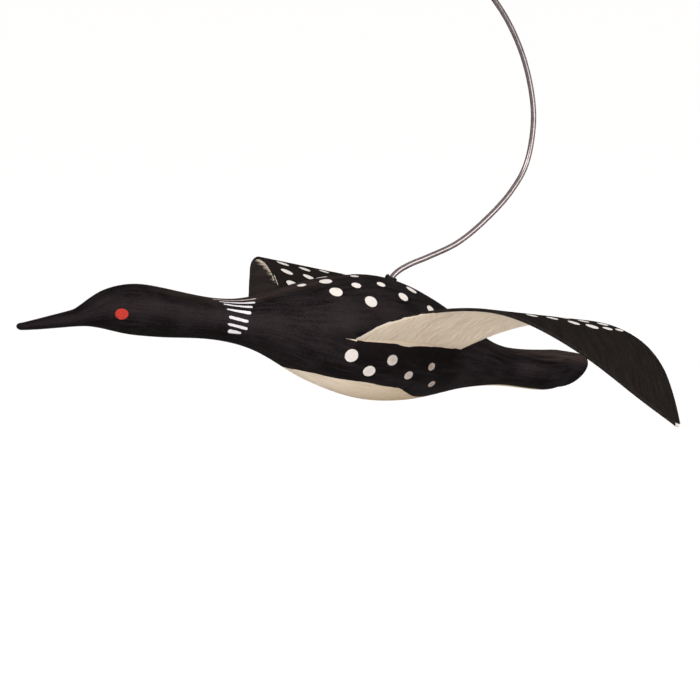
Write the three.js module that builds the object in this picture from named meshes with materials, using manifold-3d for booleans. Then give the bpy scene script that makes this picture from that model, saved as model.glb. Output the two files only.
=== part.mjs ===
// A loon in flight, carved in wood, painted, and hung from a bent steel wire. Millimetres, +Z up.
// The origin is the centre of the eye at the wire's upper end, with the bird hanging below it.
// The bill points along -X and the bird's left wing lies towards -Y.
// The carving is drawn in a frame of its own, level from bill to tail, with X aft of its deepest
// section, Y to the bird's right and Z above its long axis. It is then pitched nose up and hung.

import * as THREE from 'three';
import { mergeVertices } from 'three/addons/utils/BufferGeometryUtils.js';
import Module from 'manifold-3d';

const manifold = await Module();
manifold.setup();

// Driving dimensions of the carving
const BODY_LENGTH = 499; // tip of the bill to the end of the tail
const BODY_DEPTH = 94; // back to belly
const BODY_WIDTH = 96; // across the flanks
const NOSE_UP = 12; // degrees that the hanging bird carries its bill above level

// Driving dimensions of the wings
const WING_REACH = 255; // root edge to wing tip, measured level
const WING_CHORD = 99.4; // front to back at the root
const WING_ARCH = 42.5; // root to the top of the bend
const WING_THICKNESS = 2.4;
const WING_FRONT = -26.6; // leading edge at the root, aft of the deepest section
const WING_HEIGHT = 9.7; // middle of the root above the long axis
const SLOT_DEPTH = 16; // how deep the root sits in the widest part of the flank
const ROOT_SET = 1.8; // degrees that the rear edge is set up at the root
const TIP_SET = -2.2; // and at the tip
const LEFT_SET = 2; // degrees more on the left wing, and as many fewer on the right

// Driving dimensions of the hanging wire
const WIRE_DIAMETER = 4.4;
const WIRE_FOOT = 25.3; // where the wire enters the back, aft of the deepest section
const WIRE_RISE = 250; // foot to the centre of the eye, measured upright
const WIRE_BOW = 134; // foot to the rearmost part of the bow, measured level
const EYE_AHEAD = 14; // the eye's centre is this far ahead of the foot, above the balance point
const EYE_BORE = 12; // clear width of the eye
const EYE_GAP = 2; // opening left between the wire's end and its shank
const SOCKET_DEPTH = 16; // length of wire in the back
const SOCKET_SLOPE = 42; // degrees of the wire's slope in the back

const CLEARANCE = 0.3; // gap left round a piece that is let into another

// Fineness of the faceted surfaces
const BODY_SIDES = 32;
const RINGS_PER_STATION = 3;
const WING_STEPS = 28;
const CHORD_POINTS = 5; // points across each face of a wing
const EDGE_POINTS = 3; // points round each edge of a wing
const WIRE_SIDES = 8;
const WIRE_STEPS = 150;
const EYE_STEP = 15; // degrees between the eye's guide points

const blackBody = new THREE.MeshStandardMaterial({ color: 0x1f1b1a, roughness: 0.55, metalness: 0 });
const blackWing = new THREE.MeshStandardMaterial({ color: 0x241f1c, roughness: 0.6, metalness: 0 });
const bareSteel = new THREE.MeshStandardMaterial({ color: 0x9a9091, roughness: 0.35, metalness: 1 });

const radians = THREE.MathUtils.degToRad;

// Smooth curve through rows of equal length, at a place from 0, the first row, to 1, the last
function throughRows(rows, place) {
  const spot = place * (rows.length - 1);
  const i = Math.min(Math.floor(spot), rows.length - 2);
  const t = spot - i;
  const at = (k) => rows[THREE.MathUtils.clamp(k, 0, rows.length - 1)];
  return rows[i].map((_, column) => {
    const [a, b, c, d] = [at(i - 1), at(i), at(i + 1), at(i + 2)].map((row) => row[column]);
    const slope = (c - a) / 2;
    const nextSlope = (d - b) / 2;
    const bend = 3 * (c - b) - 2 * slope - nextSlope;
    const twist = 2 * (b - c) + slope + nextSlope;
    return b + slope * t + bend * t * t + twist * t * t * t;
  });
}

// Closed skin over rings of points that run anticlockwise seen from the last ring
function skin(rings) {
  const sides = rings[0].length;
  const corners = rings.flat();
  const faces = [];
  for (let ring = 0; ring < rings.length - 1; ring += 1) {
    for (let side = 0; side < sides; side += 1) {
      const a = ring * sides + side;
      const b = ring * sides + ((side + 1) % sides);
      faces.push(a, b, b + sides, a, b + sides, a + sides);
    }
  }
  for (const ring of [0, rings.length - 1]) {
    const middle = corners.length;
    const sum = rings[ring].reduce((total, point) => total.add(point), new THREE.Vector3());
    corners.push(sum.divideScalar(sides));
    for (let side = 0; side < sides; side += 1) {
      const a = ring * sides + side;
      const b = ring * sides + ((side + 1) % sides);
      faces.push(...(ring === 0 ? [b, a, middle] : [a, b, middle]));
    }
  }
  const geometry = new THREE.BufferGeometry();
  const numbers = corners.flatMap((corner) => corner.toArray());
  geometry.setAttribute('position', new THREE.Float32BufferAttribute(numbers, 3));
  geometry.setIndex(faces);
  return geometry;
}

function toSolid(geometry) {
  const bare = geometry.clone();
  bare.deleteAttribute('normal');
  bare.deleteAttribute('uv');
  const merged = mergeVertices(bare, 1e-4);
  return new manifold.Manifold(new manifold.Mesh({
    numProp: 3,
    vertProperties: new Float32Array(merged.getAttribute('position').array),
    triVerts: new Uint32Array(merged.getIndex().array),
  }));
}

function toGeometry(solid) {
  const mesh = solid.getMesh();
  const geometry = new THREE.BufferGeometry();
  geometry.setAttribute('position', new THREE.BufferAttribute(new Float32Array(mesh.vertProperties), 3));
  geometry.setIndex(new THREE.BufferAttribute(new Uint32Array(mesh.triVerts), 1));
  return geometry;
}

function piece(name, geometry, material) {
  const faceted = geometry.index ? geometry.toNonIndexed() : geometry;
  faceted.computeVertexNormals();
  const mesh = new THREE.Mesh(faceted, material);
  mesh.name = name;
  return mesh;
}

// Stations of the carving from bill to tail. Along is a share of the length, top and low are
// heights above the axis as shares of the depth, half is the half width as a share of half the
// width, and square is the corner power of the section: 2 is an ellipse, more is boxier.
//  along  top     low     half   square
const STATIONS = [
  [0.008, -0.125, -0.185, 0.060, 2.0], // tip of the bill
  [0.038, -0.068, -0.158, 0.092, 2.0], // bill
  [0.079, 0.014, -0.114, 0.140, 2.0], // root of the bill
  [0.091, 0.047, -0.102, 0.168, 2.0], // crease under the brow
  [0.109, 0.129, -0.088, 0.218, 2.0], // brow
  [0.134, 0.220, -0.090, 0.290, 2.1], // forehead
  [0.176, 0.287, -0.110, 0.350, 2.1], // crown
  [0.232, 0.281, -0.096, 0.345, 2.1], // nape
  [0.294, 0.260, -0.065, 0.320, 2.1], // thin of the neck
  [0.350, 0.284, -0.067, 0.360, 2.1], // collar
  [0.409, 0.380, -0.125, 0.590, 2.1], // shoulder
  [0.480, 0.532, -0.268, 0.850, 2.1], // breast
  [0.555, 0.622, -0.360, 0.985, 2.1], // back
  [0.614, 0.621, -0.373, 1.000, 2.1], // deepest belly
  [0.679, 0.531, -0.321, 0.890, 2.1], // loins
  [0.743, 0.396, -0.213, 0.720, 2.1], // rump
  [0.805, 0.255, -0.138, 0.560, 2.2], // root of the tail
  [0.855, 0.207, -0.114, 0.520, 2.3], // waist of the tail
  [0.918, 0.221, -0.112, 0.610, 2.3], // fan
  [0.953, 0.251, -0.073, 0.470, 1.9], // end of the fan
];
const DEEPEST = 0.559; // share of the length at which the carving's own X is 0
const BILL_ROUNDING = 0.008; // length of the rounded tip of the bill, as a share
const BILL_TURNS = [15, 40, 65]; // degrees round that tip
const TAIL_ROUNDING = 0.049; // length of the rounded end of the tail, as a share
const TAIL_TURNS = [20, 36, 50, 62, 72, 80, 86]; // degrees round that end
const TAIL_RISE = 0.47; // how far above its middle the tail closes, as a share of its height
const TAIL_SPREAD = 0.5; // power of that rounding seen from above: 1 is an ellipse, less is squarer
const TAIL_TAPER = 0.98; // the same seen from the side

// One section of the carving, as a ring of points. Wide and tall shrink it where the ends close
function section([along, top, low, half, square], wide = 1, tall = 1, lift = 0) {
  const x = (along - DEEPEST) * BODY_LENGTH;
  const middle = ((top + low) / 2 + lift * (top - low) * (1 - tall)) * BODY_DEPTH;
  const rise = ((top - low) / 2) * BODY_DEPTH * tall;
  const spread = (half / 2) * BODY_WIDTH * wide;
  const ring = [];
  for (let side = 0; side < BODY_SIDES; side += 1) {
    const turn = (side / BODY_SIDES) * Math.PI * 2;
    const across = Math.sign(Math.cos(turn)) * Math.abs(Math.cos(turn)) ** (2 / square);
    const up = Math.sign(Math.sin(turn)) * Math.abs(Math.sin(turn)) ** (2 / square);
    ring.push(new THREE.Vector3(x, spread * across, middle + rise * up));
  }
  return ring;
}

function carvingGeometry() {
  const [bill] = STATIONS;
  const tail = STATIONS[STATIONS.length - 1];
  const rings = [];
  for (const turn of BILL_TURNS.map(radians)) {
    const along = bill[0] - BILL_ROUNDING * Math.cos(turn);
    rings.push(section([along, ...bill.slice(1)], Math.sin(turn), Math.sin(turn)));
  }
  const steps = (STATIONS.length - 1) * RINGS_PER_STATION;
  for (let step = 0; step <= steps; step += 1) {
    rings.push(section(throughRows(STATIONS, step / steps)));
  }
  for (const turn of TAIL_TURNS.map(radians)) {
    const along = tail[0] + TAIL_ROUNDING * Math.sin(turn);
    const [wide, tall] = [Math.cos(turn) ** TAIL_SPREAD, Math.cos(turn) ** TAIL_TAPER];
    rings.push(section([along, ...tail.slice(1)], wide, tall, TAIL_RISE));
  }
  return skin(rings);
}

// Height of the back at a distance aft of the deepest section
function backHeight(aft) {
  let [before, after] = [0, 1];
  for (let halving = 0; halving < 30; halving += 1) {
    const place = (before + after) / 2;
    const [along] = throughRows(STATIONS, place);
    if ((along - DEEPEST) * BODY_LENGTH < aft) before = place;
    else after = place;
  }
  return throughRows(STATIONS, before)[1] * BODY_DEPTH;
}

// Stations of a wing from its root to its tip. Out is a share of the reach, rise a share of the
// arch, and lead and trail are the two edges behind the root's front corner, as shares of the chord.
//  out    rise   lead   trail
const WING_STATIONS = [
  [0.000, 0.000, 0.000, 1.000], // root, in the slot
  [0.149, 0.443, 0.035, 1.035],
  [0.286, 0.782, 0.138, 1.113],
  [0.424, 0.972, 0.263, 1.234],
  [0.541, 1.000, 0.365, 1.334], // top of the bend
  [0.659, 0.844, 0.502, 1.388],
  [0.776, 0.526, 0.700, 1.358],
  [0.894, 0.097, 0.912, 1.248],
  [1.000, -0.223, 1.064, 1.096], // tip
];
const NEARBY = 0.01; // half the stretch of wing over which its slope is taken

// One chord of a wing, as a ring: over the top from front to back, and back below.
// Side is -1 for the left wing and 1 for the right, and grow makes the chord stouter all round.
function chord(place, side, grow) {
  const [out, rise, lead, trail] = throughRows(WING_STATIONS, place);
  const [outBefore, riseBefore] = throughRows(WING_STATIONS, Math.max(place - NEARBY, 0));
  const [outAfter, riseAfter] = throughRows(WING_STATIONS, Math.min(place + NEARBY, 1));
  const run = (outAfter - outBefore) * WING_REACH;
  const climb = (riseAfter - riseBefore) * WING_ARCH;
  const upright = new THREE.Vector2(-climb, run).normalize();
  const y = BODY_WIDTH / 2 - SLOT_DEPTH + out * WING_REACH;
  const z = WING_HEIGHT + rise * WING_ARCH;
  const tilt = Math.tan(radians(THREE.MathUtils.lerp(ROOT_SET, TIP_SET, out) - side * LEFT_SET));
  const half = WING_THICKNESS / 2 + grow;
  const front = WING_FRONT + lead * WING_CHORD - grow + half;
  const back = WING_FRONT + trail * WING_CHORD + grow - half;
  const ring = [];
  const add = (x, above) => {
    const lift = (x - WING_FRONT - WING_CHORD / 2) * tilt;
    ring.push(new THREE.Vector3(x, side * (y + upright.x * above), z + upright.y * above + lift));
  };
  const addFace = (from, to, above) => {
    for (let i = 0; i < CHORD_POINTS; i += 1) {
      add(THREE.MathUtils.lerp(from, to, i / (CHORD_POINTS - 1)), above);
    }
  };
  const addEdge = (x, outwards) => {
    for (let i = 1; i <= EDGE_POINTS; i += 1) {
      const turn = (Math.PI * i) / (EDGE_POINTS + 1);
      add(x + outwards * half * Math.sin(turn), outwards * half * Math.cos(turn));
    }
  };
  addFace(front, back, half);
  addEdge(back, 1);
  addFace(back, front, -half);
  addEdge(front, -1);
  return side > 0 ? ring : ring.reverse();
}

function wingGeometry(side) {
  const rings = [];
  for (let step = 0; step <= WING_STEPS; step += 1) {
    rings.push(chord(step / WING_STEPS, side, 0));
  }
  return skin(rings);
}

// What is cut out of the flank for a wing's root: the wing itself, stouter and deeper in
function slotGeometry(side) {
  const rings = [];
  for (let step = 0; step <= WING_STEPS; step += 1) {
    rings.push(chord(step / WING_STEPS, side, CLEARANCE));
  }
  rings.unshift(rings[0].map((point) => point.clone().setY(point.y - side * CLEARANCE)));
  return skin(rings);
}

// Guide points of the wire between its foot and its eye: aft as a share of the bow, and up as a
// share of the rise. It leans back out of its hole, sweeps up round the bow and comes forward.
const BOW_POINTS = [
  [0.049, 0.020],
  [0.132, 0.038],
  [0.257, 0.056],
  [0.468, 0.093],
  [0.688, 0.167],
  [0.849, 0.243],
  [0.949, 0.321],
  [0.998, 0.451], // rearmost
  [0.973, 0.563],
  [0.892, 0.685],
  [0.749, 0.806],
  [0.511, 0.929],
  [0.227, 1.003],
];

// The wire's centre line in the upright plane, from its end in the socket to the end of the eye
function wireLine(socketDepth) {
  const foot = new THREE.Vector3(EYE_AHEAD, 0, -WIRE_RISE);
  const eyeRadius = (EYE_BORE + WIRE_DIAMETER) / 2;
  const slope = radians(SOCKET_SLOPE);
  const intoBack = new THREE.Vector3(-Math.cos(slope), 0, -Math.sin(slope));
  const points = [foot.clone().addScaledVector(intoBack, socketDepth), foot];
  for (const [aft, up] of BOW_POINTS) {
    points.push(new THREE.Vector3(aft * WIRE_BOW, 0, up * WIRE_RISE).add(foot));
  }
  const endHeight = 1 - (WIRE_DIAMETER + EYE_GAP) / eyeRadius;
  const eyeTurns = 270 + THREE.MathUtils.radToDeg(Math.asin(endHeight));
  const eyeSteps = Math.round(eyeTurns / EYE_STEP);
  for (let step = 0; step <= eyeSteps; step += 1) {
    const turn = radians(90 + (eyeTurns * step) / eyeSteps);
    points.push(new THREE.Vector3(Math.cos(turn) * eyeRadius, 0, Math.sin(turn) * eyeRadius));
  }
  return new THREE.CatmullRomCurve3(points, false, 'centripetal');
}

function wireGeometry(radius, socketDepth) {
  const corners = [];
  for (let side = 0; side < WIRE_SIDES; side += 1) {
    const turn = (side / WIRE_SIDES) * Math.PI * 2;
    corners.push(new THREE.Vector2(Math.cos(turn), Math.sin(turn)).multiplyScalar(radius));
  }
  return new THREE.ExtrudeGeometry(new THREE.Shape(corners), {
    steps: WIRE_STEPS,
    bevelEnabled: false,
    extrudePath: wireLine(socketDepth),
  });
}

// The bird hangs pitched, with the wire's foot on its back at the foot's place below the eye
const bird = new THREE.Group();
bird.rotation.y = radians(NOSE_UP);
bird.updateMatrix();
const footOnBack = new THREE.Vector3(WIRE_FOOT, 0, backHeight(WIRE_FOOT)).applyMatrix4(bird.matrix);
bird.position.set(EYE_AHEAD, 0, -WIRE_RISE).sub(footOnBack);
bird.updateMatrix();

function bodyGeometry() {
  const wireHole = wireGeometry(WIRE_DIAMETER / 2 + CLEARANCE, SOCKET_DEPTH + CLEARANCE);
  wireHole.applyMatrix4(bird.matrix.clone().invert());
  const cuts = [wireHole, slotGeometry(-1), slotGeometry(1)].map(toSolid);
  return toGeometry(cuts.reduce((wood, cut) => wood.subtract(cut), toSolid(carvingGeometry())));
}

bird.add(
  piece('body', bodyGeometry(), blackBody),
  piece('left_wing', wingGeometry(-1), blackWing),
  piece('right_wing', wingGeometry(1), blackWing),
);

const wire = piece('hanging_wire', wireGeometry(WIRE_DIAMETER / 2, SOCKET_DEPTH), bareSteel);

const loon = new THREE.Group();
loon.add(bird, wire);

export default loon;
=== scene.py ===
"""The looks of a loon in flight, carved in wood, painted by hand and hung from a bent steel wire.

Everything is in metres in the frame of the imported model: +Z up, the bill towards -X, the bird's left
wing towards -Y and the origin in the eye at the upper end of the wire. The carving and its wings are
modelled in the bird's own frame, level from bill to tail, then pitched nose up and hung.
"""

import math

import bmesh
import bpy
import numpy as np
from mathutils import Matrix, Vector, noise


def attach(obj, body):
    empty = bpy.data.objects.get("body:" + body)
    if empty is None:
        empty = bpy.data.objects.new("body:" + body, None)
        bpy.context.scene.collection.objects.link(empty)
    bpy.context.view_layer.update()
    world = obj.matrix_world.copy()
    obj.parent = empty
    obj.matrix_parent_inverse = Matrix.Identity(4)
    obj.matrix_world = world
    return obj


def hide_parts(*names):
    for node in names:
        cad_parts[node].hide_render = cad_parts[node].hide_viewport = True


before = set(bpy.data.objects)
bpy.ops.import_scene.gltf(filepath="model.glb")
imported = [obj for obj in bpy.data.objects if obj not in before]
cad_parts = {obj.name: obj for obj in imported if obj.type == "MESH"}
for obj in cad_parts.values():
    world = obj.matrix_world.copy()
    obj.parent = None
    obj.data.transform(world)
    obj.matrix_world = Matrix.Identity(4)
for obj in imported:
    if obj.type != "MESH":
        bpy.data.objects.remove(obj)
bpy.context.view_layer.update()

MM = 0.001

# The camera, at the photograph's angle. The picture is square
VIEW_TURN = math.radians(-33)
VIEW_RISE = math.radians(9.9)
VIEW_DISTANCE = 1.9
VIEW_CENTRE = Vector((-0.0229, 0, -0.3016))
VIEW_WIDTH = 0.5285  # width of the picture at that centre
SENSOR_WIDTH = 36
VIEW_END = 500  # beyond the edges of the floor

# The bird's own frame
NOSE_UP = math.radians(12)
EYE_AHEAD = 14 * MM  # the wire's eye is this far ahead of its foot
WIRE_RISE = 250 * MM
WIRE_FOOT = 25.3 * MM  # aft of the deepest section

# The carving
BODY_LENGTH = 499 * MM
BODY_DEPTH = 94 * MM
BODY_WIDTH = 96 * MM
DEEPEST = 0.559  # share of the length at which the carving's own X is 0
BODY_SIDES = 24
RINGS_PER_STATION = 2
BODY_SMOOTHING = 3
TOOL_WAVE = 14 * MM  # width of the low waves that the carver's tools left
TOOL_STRETCH = 2.2  # how much longer than wide they are
TOOL_DEPTH = 0.35 * MM

# The wings
WING_REACH = 255 * MM
WING_CHORD = 99.4 * MM
WING_ARCH = 42.5 * MM
WING_THICKNESS = 2.4 * MM
WING_FRONT = -26.6 * MM
WING_HEIGHT = 9.7 * MM
SLOT_DEPTH = 16 * MM
ROOT_SET = math.radians(1.8)
TIP_SET = math.radians(-2.2)
LEFT_SET = math.radians(2)
WING_ROWS = 32
CHORD_CELLS = 8
WING_SMOOTHING = 3
WING_ROUNDING = 0.45 * MM  # of the edges that turn by more than the next angle
WING_CORNER = math.radians(50)
WING_CREASE = math.radians(35)

# The wire
WIRE_DIAMETER = 4.4 * MM
WIRE_BOW = 134 * MM
EYE_BORE = 12 * MM
EYE_GAP = 2 * MM
SOCKET_DEPTH = 16 * MM
SOCKET_SLOPE = math.radians(42)
FACET_GAP = 0.05 * MM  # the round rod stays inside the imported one, which has eight sides
ROD_ROUNDING = 6
WIRE_SAMPLES = 8  # between two guide points
EYE_STEP = 15  # degrees of the eye from one guide point to the next
WIRE_CREASE = math.radians(40)

# The daub of paint round the wire's foot
DAUB_RADIUS = 2.9 * MM
DAUB_STRETCH = 1.3  # along the back, as the leaning wire needs
DAUB_THICKNESS = 1.25 * MM
DAUB_POINT = 1.5 * MM  # height of the point at its front, which leans against the wire
DAUB_POINT_WIDTH = 0.55  # in radians round the wire
DAUB_POINT_LEAN = 0.6  # how far it leans aft, as a share of its height
DAUB_LUMP = 1.7 * MM
DAUB_LUMP_WIDENS = 0.22
DAUB_LUMP_RAISES = 0.5
DAUB_FALL = 0.10  # it follows the back, which falls away aft

# Stations of the carving from bill to tail. Along is a share of the length, top and low are heights
# above the axis as shares of the depth, half is the half width as a share of half the width, and
# square is the corner power of the section: 2 is an ellipse, more is boxier.
#  along  top     low     half   square
STATIONS = [
    [0.008, -0.125, -0.185, 0.060, 2.0],  # tip of the bill
    [0.038, -0.068, -0.158, 0.092, 2.0],  # bill
    [0.079, 0.014, -0.114, 0.140, 2.0],  # root of the bill
    [0.091, 0.047, -0.102, 0.168, 2.0],  # crease under the brow
    [0.109, 0.129, -0.088, 0.218, 2.0],  # brow
    [0.134, 0.220, -0.090, 0.290, 2.1],  # forehead
    [0.176, 0.287, -0.110, 0.350, 2.1],  # crown
    [0.232, 0.281, -0.096, 0.345, 2.1],  # nape
    [0.294, 0.260, -0.065, 0.320, 2.1],  # thin of the neck
    [0.350, 0.284, -0.067, 0.360, 2.1],  # collar
    [0.409, 0.380, -0.125, 0.590, 2.1],  # shoulder
    [0.480, 0.532, -0.268, 0.850, 2.1],  # breast
    [0.555, 0.622, -0.360, 0.985, 2.1],  # back
    [0.614, 0.621, -0.373, 1.000, 2.1],  # deepest belly
    [0.679, 0.531, -0.321, 0.890, 2.1],  # loins
    [0.743, 0.396, -0.213, 0.720, 2.1],  # rump
    [0.805, 0.255, -0.138, 0.560, 2.2],  # root of the tail
    [0.855, 0.207, -0.114, 0.520, 2.3],  # waist of the tail
    [0.918, 0.221, -0.112, 0.610, 2.3],  # fan
    [0.953, 0.251, -0.073, 0.470, 1.9],  # end of the fan
]
BILL_ROUNDING = 0.008
BILL_TURNS = [15, 40, 65]
TAIL_ROUNDING = 0.049
TAIL_TURNS = [12, 24, 35, 45, 54, 62, 69, 75, 80, 85]
TAIL_RISE = 0.47
TAIL_SPREAD = 0.5  # power of the tail's rounding seen from above: 1 is an ellipse, less is squarer
TAIL_TAPER = 0.98  # the same seen from the side

# Stations of a wing from its root to its tip. Out is a share of the reach, rise a share of the
# arch, and lead and trail are the edges behind the root's front corner, as shares of the chord.
#  out    rise   lead   trail
WING_STATIONS = [
    [0.000, 0.000, 0.000, 1.000],  # root
    [0.149, 0.443, 0.035, 1.035],
    [0.286, 0.782, 0.138, 1.113],
    [0.424, 0.972, 0.263, 1.234],
    [0.541, 1.000, 0.365, 1.334],  # top of the bend
    [0.659, 0.844, 0.502, 1.388],
    [0.776, 0.526, 0.700, 1.358],
    [0.894, 0.097, 0.912, 1.248],
    [1.000, -0.223, 1.064, 1.096],  # tip
]

# Guide points of the wire between its foot and its eye: aft as a share of the bow, and up as a
# share of the rise.
BOW_POINTS = [
    [0.049, 0.020], [0.132, 0.038], [0.257, 0.056], [0.468, 0.093], [0.688, 0.167],
    [0.849, 0.243], [0.949, 0.321], [0.998, 0.451], [0.973, 0.563], [0.892, 0.685],
    [0.749, 0.806], [0.511, 0.929], [0.227, 1.003],
]

# What the brush and the dowel left, in millimetres in the bird's frame.
# Spots of the back: aft, across, diameter. Each is on both sides
BACK_SPOTS = [
    (-37.7, 24.1, 10), (-11.2, 5, 6.6), (-19.1, 21.3, 7.4), (-13.3, 35.7, 9.8), (2.6, 21.6, 6.8),
    (17.2, 32.3, 8.3), (32, 20, 9), (43, 33.5, 7.6), (69.5, 31, 7.2), (79, 17, 6.8),
    (95, 9.5, 6.2), (92, 25, 6.2),
]
# Single spots of the back: aft, to the right, diameter
MIDDLE_SPOTS = [
    (-55, -3, 6.8), (-37.9, -8, 9.8), (-31.5, 9, 9.8), (69, -4, 8.6), (55.3, 21, 8.3),
]
# Spots of the flank under the wing: aft, height, diameter, and how white they are, lowered towards
# the rear as painted shade of the wing
FLANK_SPOTS = [
    (-26, -0.8, 10.6, 0.95),
    (-7.4, -10.4, 9.6, 0.88),
    (7.5, 0.4, 8.7, 0.66),
    (26.9, -9.4, 7.4, 0.50),
    (45.8, -0.6, 6.6, 0.27),
    (54.4, -14.2, 6.4, 0.22),
]
# Strokes of the necklace: front aft, front turn, rear aft, rear turn, front width, rear width, and
# how white their paint is. A turn is in degrees round the neck from its top
NECKLACE = [
    (-129.3, 16.5, -93.5, 16.9, 1.3, 1.5, 0.30),
    (-125.3, 27.9, -96.7, 33.1, 0.8, 2, 0.85),
    (-122.6, 37.8, -100.1, 47.7, 1.1, 1.8, 0.9),
    (-121.3, 54.1, -102.1, 63.5, 1.1, 2.5, 0.95),
    (-119.5, 75.5, -104, 84.4, 2.3, 2, 0.95),
    (-119.8, 95, -103.7, 101.8, 2, 2, 0.9),
    (-117.9, 114.4, -107.2, 115.4, 3.3, 2, 0.85),
]
NECK_RADIUS = 16.5
NECK_END = -80  # aft of this the white marks are spots
# Edge of the cream belly: aft, and half its width there
BELLY_EDGE = [
    (-55.5, 0), (-52.9, 11), (-45.4, 18.9), (-38.1, 23), (-21.7, 29.6), (-4.1, 34.4),
    (11.2, 35.7), (22, 35.9), (26.6, 35.4), (36.2, 31.2), (48.9, 24), (72, 15), (100, 11.5),
    (129.8, 13.8), (156.1, 14), (170.6, 15.5), (178.3, 13), (184, 0),
]
# Lower edge of the cream that laps from under a wing onto the flank: aft, height
LAP_EDGE = [
    (-26, 11.4), (-14.7, 11.6), (-2.4, 12.5), (8.7, 13.1), (12.5, 12.2), (19.7, 12.3),
    (27.1, 13.6), (49.8, 14.9), (58.7, 14.8), (66, 15.4), (74, 18),
]
EYE_PAINT = (-206.4, 4.6, 9.6, 8.0)  # aft, height, length, height of the red eye
# The saw cut that runs out ahead of a wing's root, chipped along its lower lip, with a painted
# highlight where that lip catches the light: aft, height
KERF = [(-34.0, 11.3), (-25.0, 11.1)]
KERF_LENGTH = KERF[1][0] - KERF[0][0]
KERF_BEYOND = 30  # its lip is farther out than this
KERF_REACH = 12  # and within this height of it
# How far the ridge of the neck and back is rubbed brown, partly as a painted rim highlight: aft, share
RIDGE_RUB_AND_SHEEN = [(-205, 0), (-170, 0.5), (-140, 0.85), (-60, 0.7), (-20, 0.3), (10, 0)]
RIDGE_SIDES = (12, 5)  # from where it starts, across, to where it is full
RIDGE_TURN = 1.2  # in radians from the top, and no farther round
# Where painted shade takes the body's black back to full black, under the wings and round their
# slots, and on the crown, throat, face and tail, where it damps the sheen: from where that starts to
# where it is full, and how far it goes. Distances are aft, and the crown and the throat are in
# radians round the carving from its top
HEAD_SHADED = (-85, -120)
CROWN_SHADED = (1.12, 0.87)
CROWN_SHARE = 0.42
THROAT_SHADED = (1.45, 1.80)
THROAT_SHARE = 0.32
FACE_SHADED = (-185, -205)
FACE_SHARE = 0.3
TAIL_SHADED = (90, 120)
TAIL_SHARE = 0.35
# Full under a wing, which shades the flank: aft at the front and the rear, and down from the board
FRONT_SHADED = (-34, -20)
REAR_SHADED = (84, 62)
BOARD_SHADED = (0, 2)
LOW_SHADED = (30, 10)
SLOT_SHADED = (10, 6)  # and round the front end of its slot, this far along and up
# Limits of the painted shapes: heights, and distances out from the bird's middle
BACK_ABOVE = 15
FLANK_BEYOND = 20
LAP_BEYOND = 15
LAP_REACH = 0.8  # how far up the board's edge the lapping cream goes
NO_LAP = 100  # where its lower edge is put ahead of its front end and aft of its rear end
BELLY_BELOW = -2
OUTSIDE = -20.0  # stands for far outside a shape
# The brush's streaks are as wide as on a carving of this radius, and change towards the sides
STROKE_RADIUS = 30
SIDE_STRETCH = 0.3
# Spots of a wing's top: aft, out from the bird's middle, diameter, stretch along the wing
WING_SPOTS = [
    (-10, 70, 8.2, 1.2), (12, 68, 8.6, 1.1), (33, 70, 8.2, 1.1), (54, 69, 8.4, 1.1),
    (73, 71, 7.8, 1), (-2.6, 89.5, 11.6, 1.15), (18, 86, 8.4, 1.1), (38, 91, 8.6, 1.1),
    (59, 90, 8.4, 1.1), (77, 92, 8, 1), (5.2, 114.9, 9.4, 1.25), (24.2, 111.5, 9, 1.2),
    (45, 113, 8.6, 1.2), (65, 111, 8.4, 1.1), (83, 113, 8.2, 1), (16.6, 140.9, 9.2, 1.4),
    (34.3, 135, 9, 1.3), (58.1, 142.7, 8.6, 1.1), (77, 138, 8.4, 1), (95, 136, 8, 1),
    (34.2, 167.3, 8.6, 1), (51.6, 168.7, 8.6, 1), (70.8, 158.2, 8.4, 1), (65.4, 176.3, 8.2, 1.2),
    (83, 165.2, 8.6, 1), (78.9, 180.8, 9.6, 1), (98, 168.8, 8.6, 1), (92.8, 181.3, 8, 0.8),
    (103.6, 181.5, 6.8, 0.8),
]


# Helpers
def activate(obj):
    bpy.ops.object.select_all(action="DESELECT")
    obj.select_set(True)
    bpy.context.view_layer.objects.active = obj


def apply_modifier(obj, kind, **settings):
    """Adds a modifier with these settings and applies it."""
    activate(obj)
    modifier = obj.modifiers.new(kind.lower(), kind)
    for name, value in settings.items():
        setattr(modifier, name, value)
    bpy.ops.object.modifier_apply(modifier=modifier.name)


def smooth_mesh(obj, levels, **settings):
    apply_modifier(obj, "SUBSURF", levels=levels, render_levels=levels, **settings)


def edit_all():
    """Opens the active mesh for editing, with all of it selected."""
    bpy.ops.object.mode_set(mode="EDIT")
    bpy.ops.mesh.select_all(action="SELECT")


def through_rows(rows, place):
    """A smooth curve through rows of equal length, at a place from 0, the first, to 1, the last."""
    spot = place * (len(rows) - 1)
    i = min(int(spot), len(rows) - 2)
    t = spot - i
    a, b, c, d = (np.array(rows[min(max(k, 0), len(rows) - 1)], float) for k in range(i - 1, i + 3))
    slope, next_slope = (c - a) / 2, (d - b) / 2
    bend = 3 * (c - b) - 2 * slope - next_slope
    twist = 2 * (b - c) + slope + next_slope
    return b + slope * t + bend * t**2 + twist * t**3


def sampled(rows, steps=320):
    """That curve at even steps."""
    return np.array([through_rows(rows, step / steps) for step in range(steps + 1)])


def ramp(values, start, end):
    """0 up to start, 1 from end and even between them. The end may lie below the start."""
    return np.clip((values - start) / (end - start), 0, 1)


def points_of(obj):
    """The vertices' places, as an array of three columns."""
    flat = np.zeros(len(obj.data.vertices) * 3)
    obj.data.vertices.foreach_get("co", flat)
    return flat.reshape(-1, 3)


def set_points(obj, points):
    obj.data.vertices.foreach_set("co", points.astype(np.float32).ravel())
    obj.data.update()


def mark(obj, name, values):
    """Keeps one number for each vertex, for the paint to read."""
    layer = obj.data.attributes.new(name, "FLOAT", "POINT")
    layer.data.foreach_set("value", np.asarray(values, np.float32))


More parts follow.
